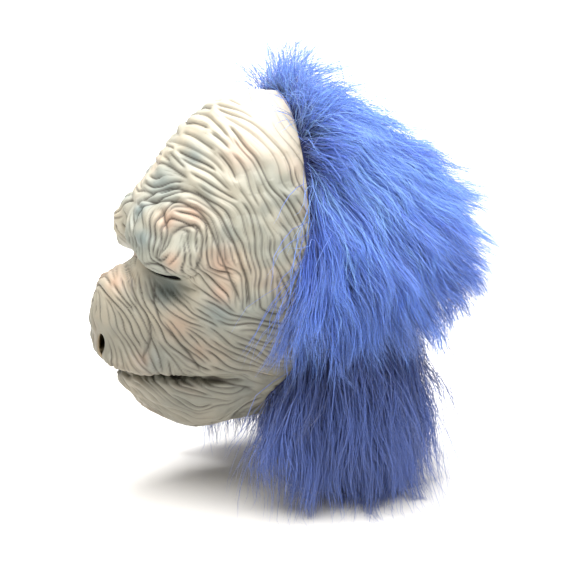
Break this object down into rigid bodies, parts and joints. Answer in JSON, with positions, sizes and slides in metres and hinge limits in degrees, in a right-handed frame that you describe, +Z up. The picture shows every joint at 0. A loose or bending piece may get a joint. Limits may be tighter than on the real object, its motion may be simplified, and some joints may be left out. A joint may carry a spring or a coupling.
{
  "type": "full-head latex mask with fur",
  "caption": "Hollow full-head creature mask: a wrinkled latex face with hooded eyes, a blunt muzzle and a heavy jaw, and long fur over the crown and nape, on a neck rim.",
  "frame": {"origin": "on the ground under the middle of the mask's bounding box, with the neck rim standing on the ground", "axes": "+Z up from the neck rim to the crown, -Y the way the face looks, +X the mask's own left side"},
  "size_m": [0.2576, 0.3484, 0.3704],
  "materials": {
    "latex": "matte",
    "fur": "matte",
    "foam": "matte",
    "mesh_cloth": "matte",
    "tape": "matte"
  },
  "bodies": {
    "root": {"latex_skin": "latex", "crown_fur": "fur", "left_side_fur": "fur", "right_side_fur": "fur", "back_fur": "fur", "left_nape_fur": "fur", "right_nape_fur": "fur", "forehead_pad": "foam", "crown_pad": "foam", "cheek_pad_left": "foam", "cheek_pad_right": "foam", "eye_screen_left": "mesh_cloth", "eye_screen_right": "mesh_cloth", "slit_tape_left": "tape", "slit_tape_right": "tape", "neck_hem": "tape"}
  },
  "joints": []
}
